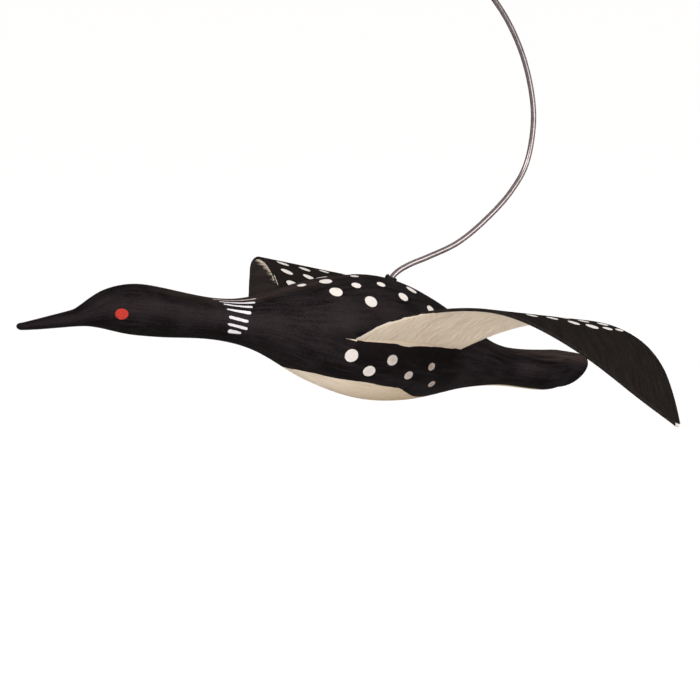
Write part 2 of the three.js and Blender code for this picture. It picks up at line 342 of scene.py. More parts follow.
def mark_places(obj, name, places):
    """Keeps one place for each vertex, for a pattern that follows the surface."""
    layer = obj.data.attributes.new(name, "FLOAT_VECTOR", "POINT")
    layer.data.foreach_set("vector", np.asarray(places, np.float32).ravel())


def feed(socket, value):
    """Links an input from another socket, or sets its value."""
    if isinstance(value, bpy.types.NodeSocket):
        socket.id_data.links.new(value, socket)
    else:
        socket.default_value = value


def add_node(tree, kind, inputs=None, **settings):
    """A node with these settings, and with these inputs fed."""
    made = tree.nodes.new("ShaderNode" + kind)
    for name, value in settings.items():
        setattr(made, name, value)
    for name, value in (inputs or {}).items():
        feed(made.inputs[name], value)
    return made


def spread(value, start, end, low=0.0, high=1.0):
    """A value between start and end, spread over low to high and held there outside them."""
    ends = {"Value": value, "From Min": start, "From Max": end, "To Min": low, "To Max": high}
    return add_node(value.id_data, "MapRange", ends).outputs["Result"]


def parts_of(vector):
    return add_node(vector.id_data, "SeparateXYZ", {"Vector": vector}).outputs


def new_paint(name, gloss):
    """A material, its nodes and its shader."""
    made = bpy.data.materials.new(name)
    made.use_nodes = True
    shader = made.node_tree.nodes["Principled BSDF"]
    feed(shader.inputs["Specular IOR Level"], gloss)
    return made, made.node_tree, shader


def new_object(data, place, away):
    """A camera or lamp at this place, with its back towards away."""
    made = bpy.data.objects.new(data.name, data)
    bpy.context.scene.collection.objects.link(made)
    made.location = place
    made.rotation_mode = "QUATERNION"
    made.rotation_quaternion = away.to_track_quat("Z", "Y")
    return made


# The camera
level_look = Vector((0, math.cos(VIEW_RISE), -math.sin(VIEW_RISE)))
look = Matrix.Rotation(VIEW_TURN, 3, "Z") @ level_look
camera = new_object(bpy.data.cameras.new("camera"), VIEW_CENTRE - look * VIEW_DISTANCE, -look)
camera.data.sensor_width = SENSOR_WIDTH
camera.data.lens = SENSOR_WIDTH * VIEW_DISTANCE / VIEW_WIDTH
camera.data.clip_end = VIEW_END
bpy.context.scene.camera = camera


# The room: a pale floor well below the bird, a white surround and soft boxes
FLOOR_HEIGHT = -1.7
FLOOR_SIZE = 300
FLOOR_WHITE = (0.985, 0.985, 0.985, 1)
FLOOR_GLOSS = 0.1
FLOOR_ROUGHNESS = 0.9
SURROUND_WHITE = (1, 1, 1, 1)
SURROUND_SEEN = 1.05  # its strength to the camera
SURROUND_LIGHT = 0.4  # and as light on the bird
SHEEN_TINT = (1, 0.94, 0.92, 1)  # what the bird's sheen shows instead
SHEEN_RISE = (-0.5, 0.4)  # from below up, where its strength changes
SHEEN_STRENGTH = (0.11, 0.05)
OVERHEAD_POWER = 2.15
OVERHEAD_TINT = (1, 0.99, 0.98)
OVERHEAD_WIDTH = math.radians(70)
OVERHEAD_TILT = (math.radians(15), math.radians(-8), 0)
# Name, direction from the bird, distance, size, power, tint, and whether it shows in the bird's
# shade, in its sheen or in both
SOFT_BOXES = [
    ("front_box", (0.1, -0.98, 0.2), 2.2, 1.2, 15, (1, 0.97, 0.97), "shade"),
    ("upper_box", (-0.05, -0.83, 0.56), 2.2, 1.2, 8, (1, 0.97, 0.97), "shade"),
    ("left_box", (-0.85, -0.45, 0.62), 2.4, 1.2, 12, (1, 0.97, 0.97), "both"),
    ("front_sheen", (0.1, -0.99, 0.05), 2.2, 1.25, 10, (1, 0.94, 0.96), "sheen"),
    ("upper_sheen", (0.36, -0.81, 0.46), 2.2, 1.0, 7.5, (1, 0.95, 0.96), "sheen"),
]


def soft_box(name, direction, distance, size, power, tint, shows):
    """A square area light that faces the bird."""
    data = bpy.data.lights.new(name, "AREA")
    data.shape = "SQUARE"
    data.size = size
    data.energy = power
    data.color = tint
    way = Vector(direction).normalized()
    lamp = new_object(data, VIEW_CENTRE + way * distance, way)
    lamp.visible_glossy = shows != "shade"
    lamp.visible_diffuse = shows != "sheen"


def lay_floor():
    bpy.ops.mesh.primitive_plane_add(size=FLOOR_SIZE, location=(0, 0, FLOOR_HEIGHT))
    floor = bpy.context.object
    floor.name = "floor"
    floor.visible_glossy = False
    pale, _, shader = new_paint("pale_floor", FLOOR_GLOSS)
    feed(shader.inputs["Base Color"], FLOOR_WHITE)
    feed(shader.inputs["Roughness"], FLOOR_ROUGHNESS)
    floor.data.materials.append(pale)


def surround():
    """White to the camera, and dimmer to the bird, so that its black stays black."""
    world = bpy.data.worlds.new("surround")
    bpy.context.scene.world = world
    world.use_nodes = True
    tree = world.node_tree
    seen = tree.nodes["Background"]
    feed(seen.inputs["Color"], SURROUND_WHITE)
    feed(seen.inputs["Strength"], SURROUND_SEEN)
    lit = add_node(tree, "Background", {"Color": SURROUND_WHITE, "Strength": SURROUND_LIGHT})
    way = parts_of(add_node(tree, "TexCoord").outputs["Generated"])
    strength = spread(way["Z"], *SHEEN_RISE, *SHEEN_STRENGTH)
    mirrored = add_node(tree, "Background", {"Color": SHEEN_TINT, "Strength": strength})
    path = add_node(tree, "LightPath").outputs
    mix = lit
    for ray, other in (("Is Glossy Ray", mirrored), ("Is Camera Ray", seen)):
        shaders = {"Fac": path[ray], 1: mix.outputs[0], 2: other.outputs[0]}
        mix = add_node(tree, "MixShader", shaders)
    feed(tree.nodes["World Output"].inputs["Surface"], mix.outputs[0])


def overhead_light():
    overhead = bpy.data.lights.new("overhead", "SUN")
    overhead.energy = OVERHEAD_POWER
    overhead.angle = OVERHEAD_WIDTH
    overhead.color = OVERHEAD_TINT
    lamp = bpy.data.objects.new("overhead", overhead)
    bpy.context.scene.collection.objects.link(lamp)
    lamp.rotation_euler = OVERHEAD_TILT
    lamp.visible_glossy = False


lay_floor()
surround()
overhead_light()
for row in SOFT_BOXES:
    soft_box(*row)
bpy.context.scene.view_settings.view_transform = "Standard"


# The carving
def body_sections():
    """Every section from bill to tail: place aft, middle height, half width, half height, power."""
    fuller = 3 / (2 + math.cos(2 * math.pi / BODY_SIDES))  # what smoothing a ring takes off
    rows = []

    def add_section(row, wide=1.0, rise=1.0, lift=0.0):
        along, top, low, half, square = row
        middle = ((top + low) / 2 + lift * (top - low) * (1 - rise)) * BODY_DEPTH
        half_width = half / 2 * BODY_WIDTH * wide * fuller
        half_height = (top - low) / 2 * BODY_DEPTH * rise * fuller
        rows.append(((along - DEEPEST) * BODY_LENGTH, middle, half_width, half_height, square))

    bill, tail = STATIONS[0], STATIONS[-1]
    for turn in map(math.radians, BILL_TURNS):
        round_end = [bill[0] - BILL_ROUNDING * math.cos(turn), *bill[1:]]
        add_section(round_end, math.sin(turn), math.sin(turn))
    for row in sampled(STATIONS, (len(STATIONS) - 1) * RINGS_PER_STATION):
        add_section(row)
    for turn in map(math.radians, TAIL_TURNS):
        round_end = [tail[0] + TAIL_ROUNDING * math.sin(turn), *tail[1:]]
        wide, rise = math.cos(turn) ** TAIL_SPREAD, math.cos(turn) ** TAIL_TAPER
        add_section(round_end, wide, rise, TAIL_RISE)
    return rows


def carve_body():
    """A disc at the tip of the bill, extruded and resized from section to section."""
    sections = body_sections()
    aft, middle, half_width, half_height, _ = sections[0]
    bpy.ops.object.select_all(action="DESELECT")
    bpy.ops.mesh.primitive_circle_add(
        vertices=BODY_SIDES,
        radius=half_height,
        fill_type="NGON",
        location=(aft, 0, middle),
        rotation=(0, math.radians(90), 0),
    )
    body = bpy.context.object
    body.name = "loon_body"
    bpy.ops.object.transform_apply()
    edit_all()
    bpy.ops.transform.resize(
        value=(1, half_width / half_height, 1), center_override=(aft, 0, middle)
    )
    for before, after in zip(sections, sections[1:]):
        step = (after[0] - before[0], 0, after[1] - before[1])
        bpy.ops.mesh.extrude_region_move(TRANSFORM_OT_translate={"value": step})
        bpy.ops.transform.resize(
            value=(1, after[2] / before[2], after[3] / before[3]),
            center_override=(after[0], 0, after[1]),
        )
    bpy.ops.mesh.select_all(action="SELECT")
    bpy.ops.mesh.normals_make_consistent(inside=False)
    bpy.ops.object.mode_set(mode="OBJECT")
    square_up(body, sections)
    smooth_mesh(body, BODY_SMOOTHING, uv_smooth="NONE")
    return body


def square_up(body, sections):
    """Moves each ring's corners out from an ellipse to the fuller section that was carved."""
    points = points_of(body)
    places = np.array(sections)
    ring = np.abs(points[:, :1] - places[:, 0]).argmin(1)
    _, middle, half_width, half_height, square = places[ring].T
    turn = np.arctan2((points[:, 2] - middle) / half_height, points[:, 1] / half_width)
    for column, share, half, offset in (
        (1, np.cos(turn), half_width, 0),
        (2, np.sin(turn), half_height, middle),
    ):
        points[:, column] = offset + half * np.sign(share) * np.abs(share) ** (2 / square)
    set_points(body, points)


def back_height(aft):
    """Height of the back at a distance aft of the deepest section."""
    before, after = 0.0, 1.0
    for _ in range(30):
        place = (before + after) / 2
        if (through_rows(STATIONS, place)[0] - DEEPEST) * BODY_LENGTH < aft:
            before = place
        else:
            after = place
    return through_rows(STATIONS, before)[1] * BODY_DEPTH


def hang(obj):
    """Pitches a piece nose up, hangs it where the wire's foot is, and leaves it active."""
    pitch = Matrix.Rotation(NOSE_UP, 4, "Y")
    foot = pitch @ Vector((WIRE_FOOT, 0, back_height(WIRE_FOOT)))
    place = Matrix.Translation(Vector((EYE_AHEAD, 0, -WIRE_RISE)) - foot)
    obj.matrix_world = place @ pitch @ obj.matrix_world
    activate(obj)
    bpy.ops.object.transform_apply()


# From here to paint_body, points and distances are in millimetres in the bird's frame. A distance
# inside a painted shape is below 0 outside it
def spot_distance(points, spots):
    """How far inside the nearest spot each point is."""
    inside = np.full(len(points), OUTSIDE)
    for centre, diameter, _ in spots:
        inside = np.maximum(inside, diameter / 2 - np.linalg.norm(points - centre, axis=1))
    return inside


def nearest(points, aft, column, place):
    """The point nearest to a distance aft and to a place in one more column."""
    return points[np.hypot(points[:, 0] - aft, points[:, column] - place).argmin()]


def body_spots(points):
    """Places of the spots on the surface: those of the back from above, the others from the side."""
    found = []
    upper = points[points[:, 2] > BACK_ABOVE]
    pairs = [(aft, side * across, size) for side in (-1, 1) for aft, across, size in BACK_SPOTS]
    for aft, across, size in pairs + MIDDLE_SPOTS:
        height = nearest(upper, aft, 1, across)[2]
        found.append((np.array([aft, across, height]), size, 1.0))
    for side in (-1, 1):
        outer = points[points[:, 1] * side > FLANK_BEYOND]
        for aft, height, size, lit_whiteness in FLANK_SPOTS:
            across = nearest(outer, aft, 2, height)[1]
            found.append((np.array([aft, across, height]), size, lit_whiteness))
    return found


def turn_from_top(points):
    """How far round the carving from its top each point is, in radians."""
    along, top, low = sampled(STATIONS)[:, :3].T
    aft = (along - DEEPEST) * BODY_LENGTH / MM
    middle = np.interp(points[:, 0], aft, (top + low) / 2 * BODY_DEPTH / MM)
    return np.arctan2(np.abs(points[:, 1]), points[:, 2] - middle)


def stroke_distances(points):
    """How far inside each stroke of the necklace each point is."""
    places = np.stack([points[:, 0], turn_from_top(points) * NECK_RADIUS], 1)
    rows = []
    for front, front_turn, rear, rear_turn, front_width, rear_width, _ in NECKLACE:
        start = np.array([front, math.radians(front_turn) * NECK_RADIUS])
        end = np.array([rear, math.radians(rear_turn) * NECK_RADIUS])
        way = (end - start) / np.linalg.norm(end - start)
        start, end = start + way * front_width / 2, end - way * rear_width / 2
        run = end - start
        offset = places - start
        share = np.clip(offset @ run / (run @ run), 0, 1)
        half = (front_width + (rear_width - front_width) * share) / 2
        rows.append(half - np.linalg.norm(offset - share[:, None] * run, axis=1))
    return np.array(rows)


def lit_whiteness_of_marks(points, spots, strokes):
    """How white the nearest spot or stroke is, from 0 to 1; the greyer flank spots are painted shade.
    """
    away = np.array([np.linalg.norm(points - centre, axis=1) - size / 2 for centre, size, _ in spots])
    of_spots = np.array([lit_whiteness for _, _, lit_whiteness in spots])[away.argmin(0)]
    of_strokes = np.array([row[-1] for row in NECKLACE])[strokes.argmax(0)]
    return np.where(points[:, 0] < NECK_END, of_strokes, of_spots)


def above_wing(points):
    """How far above the middle of a wing's board each point is."""
    rows = sampled(WING_STATIONS)
    out = (np.abs(points[:, 1]) * MM - BODY_WIDTH / 2 + SLOT_DEPTH) / WING_REACH
    tilt = ROOT_SET + (TIP_SET - ROOT_SET) * np.clip(out, 0, 1) - np.sign(points[:, 1]) * LEFT_SET
    level = WING_HEIGHT + np.interp(out, rows[:, 0], rows[:, 1]) * WING_ARCH
    lift = (points[:, 0] * MM - WING_FRONT - WING_CHORD / 2) * np.tan(tilt)
    return points[:, 2] - (level + lift) / MM


def lap_distance(points):
    """How far inside the cream that laps from under a wing each point of the flank is."""
    aft, low = sampled(LAP_EDGE).T
    above_edge = points[:, 2] - np.interp(points[:, 0], aft, low, left=NO_LAP, right=NO_LAP)
    lap = np.minimum(above_edge, LAP_REACH - above_wing(points))
    return np.where(np.abs(points[:, 1]) > LAP_BEYOND, lap, OUTSIDE)


def kerf_places(points):
    """Each point's place along the saw cut and above it, and 0 if it is near it."""
    (front, front_height), (_, rear_height) = KERF
    along = points[:, 0] - front
    above = points[:, 2] - front_height - along * (rear_height - front_height) / KERF_LENGTH
    near = (np.abs(points[:, 1]) > KERF_BEYOND) & (np.abs(above) < KERF_REACH)
    return np.stack([along, above, np.where(near, 0, -OUTSIDE)], 1)


def belly_distance(points):
    """How far inside the cream belly each point is."""
    aft, half = sampled(BELLY_EDGE).T
    edge = np.interp(points[:, 0], aft, half, left=0, right=0)
    under = (edge > 0) & (points[:, 2] < BELLY_BELOW)
    return np.where(under, edge - np.abs(points[:, 1]), OUTSIDE)


def painted_shade_share(points):
    """How far painted shade takes the black back to full black, from 0 to 1."""
    aft, across, height = points.T
    below = -above_wing(points)
    under_wing = ramp(aft, *FRONT_SHADED) * ramp(aft, *REAR_SHADED)
    under_wing *= ramp(below, *BOARD_SHADED) * ramp(below, *LOW_SHADED)
    slot = np.stack([aft, height], 1) - KERF[0]
    round_slot = np.exp(-((slot / SLOT_SHADED) ** 2).sum(1))
    flank = np.where(np.abs(across) > FLANK_BEYOND, np.maximum(under_wing, round_slot), 0)
    turn = turn_from_top(points)
    crown = CROWN_SHARE * ramp(turn, *CROWN_SHADED)
    neck = np.maximum(crown, THROAT_SHARE * ramp(turn, *THROAT_SHADED))
    head = ramp(aft, *HEAD_SHADED) * (neck + (FACE_SHARE - neck) * ramp(aft, *FACE_SHADED))
    return np.maximum(flank, np.maximum(head, TAIL_SHARE * ramp(aft, *TAIL_SHADED)))


def ridge_rub_and_sheen(points):
    """How far the paint along the ridge of the neck and back is rubbed brown, partly as a painted rim
    highlight, from 0 to 1.
    """
    along = np.interp(points[:, 0], *np.array(RIDGE_RUB_AND_SHEEN).T)
    ridge = ramp(np.abs(points[:, 1]), *RIDGE_SIDES)
    return np.where(turn_from_top(points) < RIDGE_TURN, along * ridge, 0)


def eye_distance(points):
    """How far inside the red eye each point is."""
    aft, height, length, tall = EYE_PAINT
    out = np.hypot((points[:, 0] - aft) / (length / 2), (points[:, 2] - height) / (tall / 2))
    return (1 - out) * tall / 2


def paint_body(body):
    points = points_of(body) / MM
    spots = body_spots(points)
    strokes = stroke_distances(points)
    mark(body, "spots", spot_distance(points, spots))
    mark(body, "necklace", strokes.max(0))
    mark(body, "lit_whiteness", lit_whiteness_of_marks(points, spots, strokes))
    mark(body, "belly", np.maximum(belly_distance(points), lap_distance(points)))
    mark(body, "eye", eye_distance(points))
    mark(body, "painted_shade", painted_shade_share(points))
    mark(body, "rub_and_sheen", ridge_rub_and_sheen(points))
    mark_places(body, "kerf", kerf_places(points))
    strokes_at = [turn_from_top(points) * STROKE_RADIUS, points[:, 0], points[:, 1] * SIDE_STRETCH]
    mark_places(body, "strokes", np.stack(strokes_at, 1) * MM)
    mark_places(body, "grain", points * MM)


def tool_waves(obj):
    """Cuts the low waves of hand tools into a surface."""
    points = points_of(obj)
    normals = np.zeros(len(points) * 3)
    obj.data.vertices.foreach_get("normal", normals)
    scale = Vector((1 / TOOL_STRETCH, 1, 1)) / TOOL_WAVE
    cut = np.array([noise.noise(Vector(p) * scale) - 1 for p in points]) / 2
    set_points(obj, points + normals.reshape(-1, 3) * (cut * TOOL_DEPTH)[:, None])


# The wings
def wing_place(out_row, side):
    """One row of a wing: its place out, its middle aft, its height, its chord and its set."""
    out, rise, lead, trail = out_row
    tilt = ROOT_SET + (TIP_SET - ROOT_SET) * out - side * LEFT_SET
    middle = WING_FRONT + (lead + trail) / 2 * WING_CHORD
    lift = (middle - WING_FRONT - WING_CHORD / 2) * math.tan(tilt)
    across = side * (BODY_WIDTH / 2 - SLOT_DEPTH + out * WING_REACH)
    return across, middle, WING_HEIGHT + rise * WING_ARCH + lift, (trail - lead) * WING_CHORD, tilt


def bend_wing(side, name):
    """A grid, its rows moved one by one to the board's bend."""
    bpy.ops.object.select_all(action="DESELECT")
    bpy.ops.mesh.primitive_grid_add(x_subdivisions=CHORD_CELLS, y_subdivisions=WING_ROWS, size=1)
    wing = bpy.context.object
    wing.name = name
    bpy.ops.object.mode_set(mode="EDIT")
    mesh = bmesh.from_edit_mesh(wing.data)
    rows = sorted({round(vertex.co.y, 4) for vertex in mesh.verts})
    for index, row in enumerate(rows):
        place = index / (len(rows) - 1)
        across, middle, height, chord, tilt = wing_place(through_rows(WING_STATIONS, place), side)
        bpy.ops.mesh.select_all(action="DESELECT")
        mesh = bmesh.from_edit_mesh(wing.data)
        # A row that has been moved stands at another height, so that it isn't taken again
        for vertex in mesh.verts:
            vertex.select = abs(vertex.co.y - row) < 1e-3 and abs(vertex.co.z) < 1e-9
        mesh.select_flush(True)
        bmesh.update_edit_mesh(wing.data)
        assert sum(vertex.select for vertex in mesh.verts) == CHORD_CELLS + 1
        bpy.ops.transform.resize(value=(chord, 1, 1), center_override=(0, row, 0))
        bpy.ops.transform.rotate(value=tilt, orient_axis="Y", center_override=(0, row, 0))
        bpy.ops.transform.translate(value=(middle, across - row, height))
    bpy.ops.object.mode_set(mode="OBJECT")
    return wing


def finish_wing(wing, side):
    """Smooths a bent grid and gives it the board's thickness, its three paints and round edges."""
    if side < 0:
        activate(wing)
        edit_all()
        bpy.ops.mesh.flip_normals()
        bpy.ops.object.mode_set(mode="OBJECT")
    smooth_mesh(wing, WING_SMOOTHING, boundary_smooth="PRESERVE_CORNERS")
    paints = {"material_offset": 1, "material_offset_rim": 2}
    apply_modifier(
        wing, "SOLIDIFY", thickness=WING_THICKNESS, offset=0, use_even_offset=True, **paints
    )
    corners = {"limit_method": "ANGLE", "angle_limit": WING_CORNER}
    apply_modifier(wing, "BEVEL", width=WING_ROUNDING, segments=2, **corners)


# The paint of each wing, -1 the left and 1 the right, in millimetres out from the bird's middle.
# Where its cream lining ends: at the deepest section, how much farther for each millimetre aft,
# and at the most
LINING = {-1: (155.4, 1.13, 226), 1: (164.5, 0.88, 217)}
# How far out the cream also covers the leading edge, and from and to where it is rubbed bare
LINED_EDGE = {-1: 125, 1: 0}
BARE_EDGE = {-1: (45, 77.5), 1: (87, 103)}
BARE_TIP = 286.6
BARE_TIP_BAND = 5  # the bare band goes round the tip from this far inside it
# Height of the upper border of that cream over the middle of the board: out, height
EDGE_BORDER = {
    -1: [(34, -0.7), (48, -0.2), (70, 1.1), (76, 1.1), (79, 0.3), (95, -0.5), (125, -1.6)],
    1: [(34, 0.8), (125, 0.8)],
}
LINED_OVER = 0.15  # how far the cream goes over that border
BAND_BELOW = 0.3  # the middle of the bare band is this far below it
BAND_HALF = 0.34
STROKE_SLANT = 0.22  # the brush went aft by this much out along the wing, and more and more
STROKE_BEND = 0.0004


def paint_wing(wing, side):
    points = points_of(wing) / MM
    out = np.abs(points[:, 1])
    inside = np.full(len(points), OUTSIDE)
    for aft, across, diameter, stretch in WING_SPOTS:
        away = np.hypot(points[:, 0] - aft, (out - across) / stretch)
        inside = np.maximum(inside, diameter / 2 - away)
    mark(wing, "spots", inside)
    at_front, slant, end = LINING[side]
    edge = np.minimum(at_front + slant * points[:, 0], end)
    mark(wing, "lining", (edge - out) / math.hypot(1, slant))
    rows = sampled(WING_STATIONS)
    row_out = (BODY_WIDTH / 2 - SLOT_DEPTH + rows[:, 0] * WING_REACH) / MM
    middle = (WING_FRONT + np.interp(out, row_out, rows[:, 2:].mean(1)) * WING_CHORD) / MM
    ahead = middle - points[:, 0]
    below_border = np.interp(out, *np.array(EDGE_BORDER[side]).T) - above_wing(points)
    lined = np.minimum(LINED_EDGE[side] - out, ahead)
    mark(wing, "lined_edge", np.minimum(lined, below_border + LINED_OVER))
    start, end = BARE_EDGE[side]
    bare = np.minimum(np.minimum(end - out, out - start), ahead)
    mark(wing, "bare", np.maximum(bare, out - BARE_TIP))
    off_band = np.where(out > BARE_TIP - BARE_TIP_BAND, 0, below_border - BAND_BELOW)
    mark(wing, "off_band", off_band)
    across_strokes = points[:, 0] + STROKE_SLANT * out + STROKE_BEND * out**2
    mark_places(wing, "strokes", np.stack([across_strokes, out, points[:, 2]], 1) * MM)


# The wire
def centripetal(points):
    """A centripetal Catmull-Rom curve through points."""
    before = points[0] * 2 - points[1]
    after = points[-1] * 2 - points[-2]
    full = [before, *points, after]
    line = []
    for i in range(1, len(full) - 2):
        a, b, c, d = full[i - 1 : i + 3]
        first, second, third = ((q - p).length ** 0.5 for p, q in ((a, b), (b, c), (c, d)))
        slope = ((b - a) / first - (c - a) / (first + second) + (c - b) / second) * second
        next_slope = ((c - b) / second - (d - b) / (second + third) + (d - c) / third) * second
        for step in range(WIRE_SAMPLES):
            t = step / WIRE_SAMPLES
            bend = (c - b) * 3 - slope * 2 - next_slope
            twist = (b - c) * 2 + slope + next_slope
            line.append(b + slope * t + bend * t**2 + twist * t**3)
    return [*line, points[-1]]


def wire_line():
    """The wire's centre line from its end in the back to the end of its eye."""
    foot = Vector((EYE_AHEAD, 0, -WIRE_RISE))
    into_back = Vector((-math.cos(SOCKET_SLOPE), 0, -math.sin(SOCKET_SLOPE)))
    points = [foot + into_back * SOCKET_DEPTH, foot]
    points += [foot + Vector((aft * WIRE_BOW, 0, up * WIRE_RISE)) for aft, up in BOW_POINTS]
    eye_radius = (EYE_BORE + WIRE_DIAMETER) / 2
    end_height = 1 - (WIRE_DIAMETER + EYE_GAP) / eye_radius
    turns = math.radians(270) + math.asin(end_height)
    steps = round(math.degrees(turns) / EYE_STEP)
    for step in range(steps + 1):
        turn = math.radians(90) + turns * step / steps
        points.append(Vector((math.cos(turn) * eye_radius, 0, math.sin(turn) * eye_radius)))
    return centripetal(points)


def bend_wire():
    line = wire_line()
    data = bpy.data.curves.new("hanging_rod", "CURVE")
    data.dimensions = "3D"
    data.bevel_depth = WIRE_DIAMETER / 2 - FACET_GAP
    data.bevel_resolution = ROD_ROUNDING
    data.use_fill_caps = True
    spline = data.splines.new("POLY")
    spline.points.add(len(line) - 1)
    for point, place in zip(spline.points, line):
        point.co = (*place, 1)
    rod = bpy.data.objects.new("hanging_rod", data)
    bpy.context.scene.collection.objects.link(rod)
    activate(rod)
    bpy.ops.object.convert(target="MESH")
    rod = bpy.context.object
    edit_all()
    bpy.ops.mesh.remove_doubles(threshold=1e-6)
    bpy.ops.mesh.normals_make_consistent(inside=False)
    bpy.ops.object.mode_set(mode="OBJECT")
    bpy.ops.object.shade_smooth_by_angle(angle=WIRE_CREASE)
    return rod


def daub_foot():
    """The ragged rim of paint round the wire's foot, drawn up to a point at the front."""
    foot = np.array([WIRE_FOOT, 0, back_height(WIRE_FOOT)])
    bpy.ops.object.select_all(action="DESELECT")
    bpy.ops.mesh.primitive_torus_add(
        location=foot,
        major_segments=56,
        minor_segments=14,
        major_radius=DAUB_RADIUS,
        minor_radius=DAUB_THICKNESS,
    )
    daub = bpy.context.object
    daub.name = "foot_daub"
    bpy.ops.object.transform_apply()
    points = points_of(daub)
    offset = points - foot
    turn = np.arctan2(offset[:, 1], -offset[:, 0])
    lumps = np.array([noise.noise(Vector(p) / DAUB_LUMP) for p in points])
    offset[:, 0] *= DAUB_STRETCH
    offset[:, :2] *= (1 + DAUB_LUMP_WIDENS * lumps)[:, None]
    raised = ramp(offset[:, 2], 0, DAUB_THICKNESS) * DAUB_POINT
    raised *= np.exp(-((turn / DAUB_POINT_WIDTH) ** 2))
    offset[:, 2] *= 1 + DAUB_LUMP_RAISES * lumps
    offset[:, 2] += raised
    offset[:, 0] += raised * DAUB_POINT_LEAN
    offset[:, 2] -= offset[:, 0] * DAUB_FALL
    set_points(daub, foot + offset)
    smooth_mesh(daub, 1)
    return daub


# Materials
def new_group(name, numbers, results):
    """A node group that takes Place and these numbers, with their usual values."""
    group = bpy.data.node_groups.new(name, "ShaderNodeTree")
    group.interface.new_socket("Place", in_out="INPUT", socket_type="NodeSocketVector")
    for number, value in numbers.items():
        made = group.interface.new_socket(number, in_out="INPUT", socket_type="NodeSocketFloat")
        made.default_value = value
    for result in results:
        group.interface.new_socket(result, in_out="OUTPUT", socket_type="NodeSocketFloat")
    given = group.nodes.new("NodeGroupInput").outputs
    return group, given, group.nodes.new("NodeGroupOutput").inputs


def calculate(operation, *values):
    """One step of arithmetic on sockets and numbers."""
    tree = next(value.id_data for value in values if isinstance(value, bpy.types.NodeSocket))
    return add_node(tree, "Math", dict(enumerate(values)), operation=operation).outputs[0]


def speckle(place, scale, detail=4.0, roughness=0.5):
    """Noise from 0 to 1, this many waves to a metre."""
    inputs = {"Vector": place, "Scale": scale, "Detail": detail, "Roughness": roughness}
    return add_node(place.id_data, "TexNoise", inputs).outputs["Fac"]


def make_edge_group():
    """Turns a distance in millimetres into the mask of a painted shape with a hand-drawn edge."""
    numbers = {"Distance": 0.0, "Wobble": 0.3, "Wobble Scale": 300.0, "Softness": 0.15}
    group, given, results = new_group("painted_edge", numbers, ["Mask"])
    wave = speckle(given["Place"], given["Wobble Scale"], 3.0)
    swing = calculate("SUBTRACT", wave, 0.5)
    ends = {
        "Value": calculate("MULTIPLY_ADD", swing, given["Wobble"], given["Distance"]),
        "From Min": calculate("MULTIPLY", given["Softness"], -1.0),
        "From Max": given["Softness"],
    }
    mask = add_node(group, "MapRange", ends, interpolation_type="SMOOTHSTEP")
    feed(results["Mask"], mask.outputs["Result"])
    return group


SWAY_SCALE = 28.0  # how many times to a metre a brush sways


def make_brush_group():
    """Swaying streaks of a brush along the second axis of Place: a tone and a height, 0 to 1."""
    numbers = {"Across": 900.0, "Along": 40.0, "Sway": 0.0}
    group, given, results = new_group("brush_strokes", numbers, ["Tone", "Height"])
    place = given["Place"]
    swing = calculate("SUBTRACT", speckle(place, SWAY_SCALE, 2.0), 0.5)
    aside = {"X": calculate("MULTIPLY", swing, given["Sway"])}
    scale = {"X": given["Across"], "Y": given["Along"], "Z": given["Along"]}
    for operation, parts in (("ADD", aside), ("MULTIPLY", scale)):
        vectors = {0: place, 1: add_node(group, "CombineXYZ", parts).outputs[0]}
        place = add_node(group, "VectorMath", vectors, operation=operation).outputs[0]
    streaks = speckle(place, 1.0, 4.0, 0.65)
    feed(results["Tone"], streaks)
    feed(results["Height"], streaks)
    return group


EDGE = make_edge_group()
BRUSH = make_brush_group()


def painted(distance, place, wobble, fineness):
    """The mask of a painted shape."""
    inputs = {"Distance": distance, "Place": place, "Wobble": wobble, "Wobble Scale": fineness}
    return add_node(place.id_data, "Group", inputs, node_tree=EDGE).outputs["Mask"]


def brushed(place, across, along, sway):
    """The streaks of a brush, with this many to a metre across them and along them."""
    inputs = {"Place": place, "Across": across, "Along": along, "Sway": sway}
    return add_node(place.id_data, "Group", inputs, node_tree=BRUSH).outputs


def attribute(tree, name, output="Fac"):
    return add_node(tree, "Attribute", attribute_name=name).outputs[output]


def blend(mask, under, over):
    """A colour, and another over it where the mask is 1."""
    inputs = {"Factor": mask, 6: under, 7: over}
    return add_node(mask.id_data, "Mix", inputs, data_type="RGBA").outputs[2]


def finish_paint(shader, colour, roughness, relief, strength, depth):
    """Feeds a paint's shader, with a relief this strong and deep."""
    bumps = {"Height": relief, "Strength": strength, "Distance": depth}
    feed(shader.inputs["Base Color"], colour)
    feed(shader.inputs["Roughness"], roughness)
    feed(shader.inputs["Normal"], add_node(shader.id_data, "Bump", bumps).outputs[0])


BLACK = (0.0016, 0.0012, 0.0011, 1)
BLACK_WORN = (0.0125, 0.0098, 0.0102, 1)
RUBBED_BROWN_SHEEN = (0.046, 0.031, 0.026, 1)
WHITE = (0.66, 0.615, 0.575, 1)
STRIPE_WHITE = (0.67, 0.66, 0.70, 1)
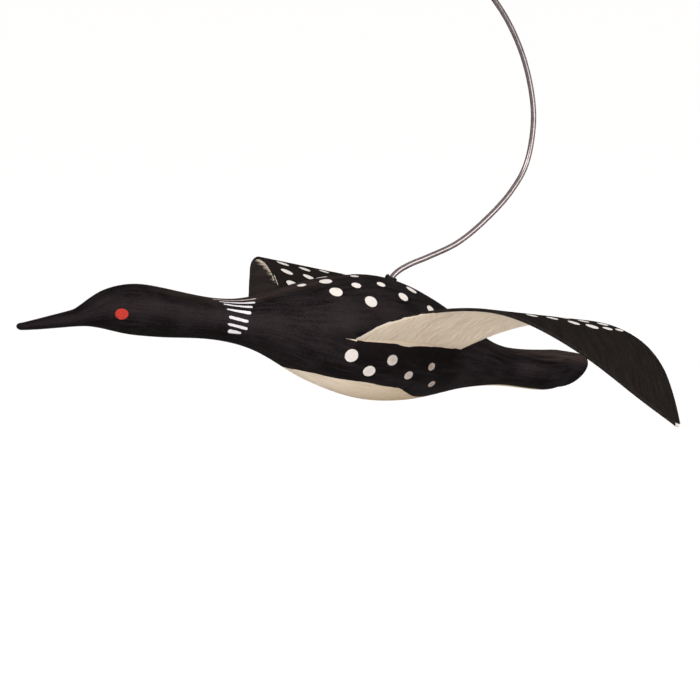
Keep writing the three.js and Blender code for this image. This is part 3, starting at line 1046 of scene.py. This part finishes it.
# A greyer white, for the greyer strokes, painted shade on flank spots, and the saw cuts' highlight
GREYED_WHITE = (0.25, 0.19, 0.145, 1)
CREAM = (0.65, 0.545, 0.42, 1)
CREAM_SHADE = (0.45, 0.36, 0.265, 1)
CREAM_DARKENED = (0.38, 0.285, 0.175, 1)
RED = (0.41, 0.019, 0.010, 1)
RED_FLECK = (0.50, 0.085, 0.050, 1)
WING_BLACK = (0.0055, 0.0040, 0.0034, 1)
WING_BLACK_WORN = (0.0150, 0.0110, 0.0092, 1)
LINING_DARK = (0.0180, 0.0115, 0.0095, 1)
LINING_WORN = (0.0335, 0.0215, 0.0178, 1)
EDGE_DARK = (0.010, 0.0075, 0.0065, 1)
EDGE_RUBBED = (0.024, 0.0165, 0.014, 1)
BARE_WOOD = (0.66, 0.60, 0.55, 1)
STEEL_DULL = (0.50, 0.43, 0.42, 1)
STEEL_BRIGHT = (0.70, 0.62, 0.61, 1)
BLACK_SHEEN = (1, 0.80, 0.86, 1)

# Where the body's paint changes, in metres in the bird's frame: the top of the tail, rubbed brown
# and with a painted sheen, the belly, darker and browner towards the tail, and its keel, darker as
# painted shade
TAIL_TOP_AFT = (0.105, 0.150)
TAIL_TOP_UP = (0.0145, 0.0205)
DARKER_AFT = (-0.03, 0.05)
KEEL_DOWN = (-0.024, -0.036)
KEEL_SHADE = 0.4


def body_paint():
    made, tree, shader = new_paint("body_paint", 0.32)
    feed(shader.inputs["Specular Tint"], BLACK_SHEEN)
    grain = attribute(tree, "grain", "Vector")
    parts = parts_of(grain)
    brush = brushed(attribute(tree, "strokes", "Vector"), 520.0, 38.0, 0.008)
    mottle = speckle(grain, 260.0, 6.0, 0.7)
    fine = speckle(grain, 900.0, 3.0, 0.6)
    patches = speckle(grain, 45.0, 5.0)
    streaks = calculate("MULTIPLY_ADD", brush["Tone"], 1.6, patches)
    both = calculate("MULTIPLY_ADD", fine, 1.3, streaks)
    # Wear lightens the black at random; painted shade takes it back to full black under the wings,
    # round their slots and on the head and tail
    painted_shade = calculate("MULTIPLY", attribute(tree, "painted_shade"), 0.9)
    wear = calculate("SUBTRACT", spread(both, 1.57, 2.33, 0.0, 1.25), painted_shade)
    colour = blend(wear, BLACK, BLACK_WORN)

    # The tail's upper face and the ridges of the back and neck are rubbed brown, partly as a painted
    # sheen on the tail's top and a painted highlight along the ridges
    far_aft = spread(parts["X"], *TAIL_TOP_AFT)
    tail_top = calculate("MULTIPLY", far_aft, spread(parts["Z"], *TAIL_TOP_UP))
    streaked = spread(brush["Tone"], 0.40, 0.62, 0.25, 1.0)
    rub_and_sheen = calculate("MAXIMUM", tail_top, attribute(tree, "rub_and_sheen"))
    colour = blend(calculate("MULTIPLY", rub_and_sheen, streaked), colour, RUBBED_BROWN_SHEEN)

    # The belly's cream is darker and browner towards the tail, and darker along its downward-facing
    # keel as painted shade
    keel = spread(parts["Z"], *KEEL_DOWN, 0, KEEL_SHADE)
    cream_darkening = calculate("ADD", spread(parts["X"], *DARKER_AFT), keel)
    cream_darkening = calculate("MULTIPLY", cream_darkening, calculate("LESS_THAN", parts["Z"], 0.0))
    cream_darkened = calculate("MULTIPLY", cream_darkening, spread(mottle, 0.35, 0.6, 0.8, 1.0))
    fresh = blend(spread(brush["Tone"], 0.35, 0.6, 0.5, 1.0), CREAM_SHADE, CREAM)
    cream = blend(cream_darkened, fresh, CREAM_DARKENED)
    belly = painted(attribute(tree, "belly"), grain, 1.0, 160.0)
    colour = blend(belly, colour, cream)

    # White marks, the greyer ones with a browner middle; on the flank spots under the wings the grey
    # and the browner middle are painted shade
    spot = attribute(tree, "spots")
    lit_whiteness = attribute(tree, "lit_whiteness")
    middle = spread(spot, 1.6, 3.0, 0.0, 0.5)
    shaded_middle = calculate("MULTIPLY", calculate("SUBTRACT", 1.0, lit_whiteness), middle)
    cloud = spread(mottle, 0.3, 0.6, -0.17, 0.04)
    tone = calculate("ADD", calculate("SUBTRACT", lit_whiteness, shaded_middle), cloud)
    white = blend(tone, GREYED_WHITE, WHITE)
    spots = painted(spot, grain, 0.35, 260.0)
    necklace = painted(attribute(tree, "necklace"), grain, 0.7, 420.0)
    marks = calculate("MAXIMUM", spots, necklace)
    striped = blend(tone, GREYED_WHITE, STRIPE_WHITE)
    white = blend(necklace, white, striped)
    colour = blend(marks, colour, white)

    # The lip of the saw cut ahead of each wing: chipped cream paint, and a painted highlight on that
    # lower lip, greyish white at its front
    kerf = parts_of(attribute(tree, "kerf", "Vector"))
    half = spread(kerf["X"], 0.0, KERF_LENGTH, 0.08, 0.55)
    lip = calculate("SUBTRACT", half, calculate("ABSOLUTE", kerf["Y"]))
    for limit in (kerf["X"], calculate("SUBTRACT", KERF_LENGTH, kerf["X"])):
        lip = calculate("MINIMUM", lip, limit)
    lip = calculate("SUBTRACT", lip, kerf["Z"])
    chip_and_highlight = painted(lip, grain, 0.5, 700.0)
    bared_and_lit = blend(spread(kerf["X"], 1.0, 7.0), GREYED_WHITE, CREAM)
    colour = blend(chip_and_highlight, colour, bared_and_lit)

    eye = painted(attribute(tree, "eye"), grain, 0.6, 320.0)
    flecks = speckle(grain, 750.0, 3.0, 0.7)
    red = blend(spread(flecks, 0.56, 0.72), RED, RED_FLECK)
    colour = blend(eye, colour, red)

    rough = spread(calculate("ADD", brush["Tone"], mottle), 0.7, 1.3, 0.48, 0.72)
    relief = brush["Height"]
    for layer, share in ((mottle, 0.8), (fine, 0.4), (marks, 0.35)):
        relief = calculate("MULTIPLY_ADD", layer, share, relief)
    finish_paint(shader, colour, rough, relief, 0.55, 0.45 * MM)
    return made


WING_ROUGHNESS = 0.6


def wing_top_paint():
    made, tree, shader = new_paint("wing_top_paint", 0.3)
    place = attribute(tree, "strokes", "Vector")
    brush = brushed(place, 420.0, 30.0, 0.008)
    mottle = speckle(place, 500.0, 5.0, 0.7)
    wear = spread(calculate("ADD", brush["Tone"], mottle), 0.8, 1.25)
    colour = blend(wear, WING_BLACK, WING_BLACK_WORN)
    spots = painted(attribute(tree, "spots"), place, 0.5, 260.0)
    colour = blend(spots, colour, WHITE)
    relief = calculate("ADD", brush["Height"], mottle)
    finish_paint(shader, colour, WING_ROUGHNESS, relief, 0.3, 0.25 * MM)
    return made


DRY_REACH = 11.0  # millimetres by which a dry brush drew the lining's end out, or fell short


def wing_lining_paint():
    made, tree, shader = new_paint("wing_lining_paint", 0.25)
    place = attribute(tree, "strokes", "Vector")
    brush = brushed(place, 850.0, 40.0, 0.02)
    broad = brushed(place, 150.0, 14.0, 0.02)
    both = calculate("MULTIPLY_ADD", broad["Tone"], 0.4, brush["Tone"])
    cream = blend(spread(both, 0.52, 0.88), CREAM_SHADE, CREAM)
    dry = spread(brush["Tone"], 0.0, 1.0, -DRY_REACH, DRY_REACH)
    drawn = calculate("ADD", attribute(tree, "lining"), dry)
    mask = painted(drawn, place, 1.0, 300.0)
    patches = speckle(place, 60.0, 4.0)
    dark = blend(spread(patches, 0.35, 0.65), LINING_DARK, LINING_WORN)
    colour = blend(mask, dark, cream)
    finish_paint(shader, colour, WING_ROUGHNESS, brush["Height"], 0.6, 0.4 * MM)
    return made


def wing_edge_paint():
    made, tree, shader = new_paint("wing_edge_paint", 0.3)
    place = attribute(tree, "strokes", "Vector")
    patches = speckle(place, 260.0, 4.0, 0.65)
    colour = blend(spread(patches, 0.4, 0.65), EDGE_DARK, EDGE_RUBBED)
    lined = painted(attribute(tree, "lined_edge"), place, 3.0, 120.0)
    colour = blend(lined, colour, CREAM)
    off_band = calculate("ABSOLUTE", attribute(tree, "off_band"))
    band = calculate("SUBTRACT", BAND_HALF, off_band)
    bare = calculate("MINIMUM", attribute(tree, "bare"), band)
    colour = blend(painted(bare, place, 0.5, 250.0), colour, BARE_WOOD)
    finish_paint(shader, colour, WING_ROUGHNESS, patches, 0.4, 0.2 * MM)
    return made


def daub_paint():
    made, tree, shader = new_paint("daub_paint", 0.4)
    place = add_node(tree, "TexCoord").outputs["Object"]
    patches = speckle(place, 500.0, 5.0, 0.65)
    colour = blend(spread(patches, 0.4, 0.65), BLACK, BLACK_WORN)
    finish_paint(shader, colour, 0.42, patches, 0.5, 0.3 * MM)
    return made


def steel():
    made, tree, shader = new_paint("drawn_steel", 0.5)
    place = add_node(tree, "TexCoord").outputs["Object"]
    patches = speckle(place, 160.0, 5.0, 0.6)
    colour = blend(spread(patches, 0.35, 0.65), STEEL_DULL, STEEL_BRIGHT)
    feed(shader.inputs["Metallic"], 0.85)
    rough = spread(patches, 0.3, 0.7, 0.17, 0.27)
    finish_paint(shader, colour, rough, patches, 0.08, 0.1 * MM)
    return made


body = carve_body()
body.data.materials.append(body_paint())
paint_body(body)
tool_waves(body)
hang(body)
bpy.ops.object.shade_smooth()

wings = {}
wing_paints = [wing_top_paint(), wing_lining_paint(), wing_edge_paint()]
for side, name in ((-1, "left_wing_board"), (1, "right_wing_board")):
    wing = bend_wing(side, name)
    for paint in wing_paints:
        wing.data.materials.append(paint)
    finish_wing(wing, side)
    paint_wing(wing, side)
    hang(wing)
    bpy.ops.object.shade_smooth_by_angle(angle=WING_CREASE)
    wings[side] = wing

rod = bend_wire()
rod.data.materials.append(steel())

daub = daub_foot()
daub.data.materials.append(daub_paint())
hang(daub)
bpy.ops.object.shade_smooth()

for piece, node, slot in (
    (body, "body", "painted_body"),
    (wings[-1], "left_wing", "painted_wing"),
    (wings[1], "right_wing", "painted_wing"),
    (rod, "hanging_wire", "bare_steel"),
):
    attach(piece, "root")
    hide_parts(node)

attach(daub, "root")
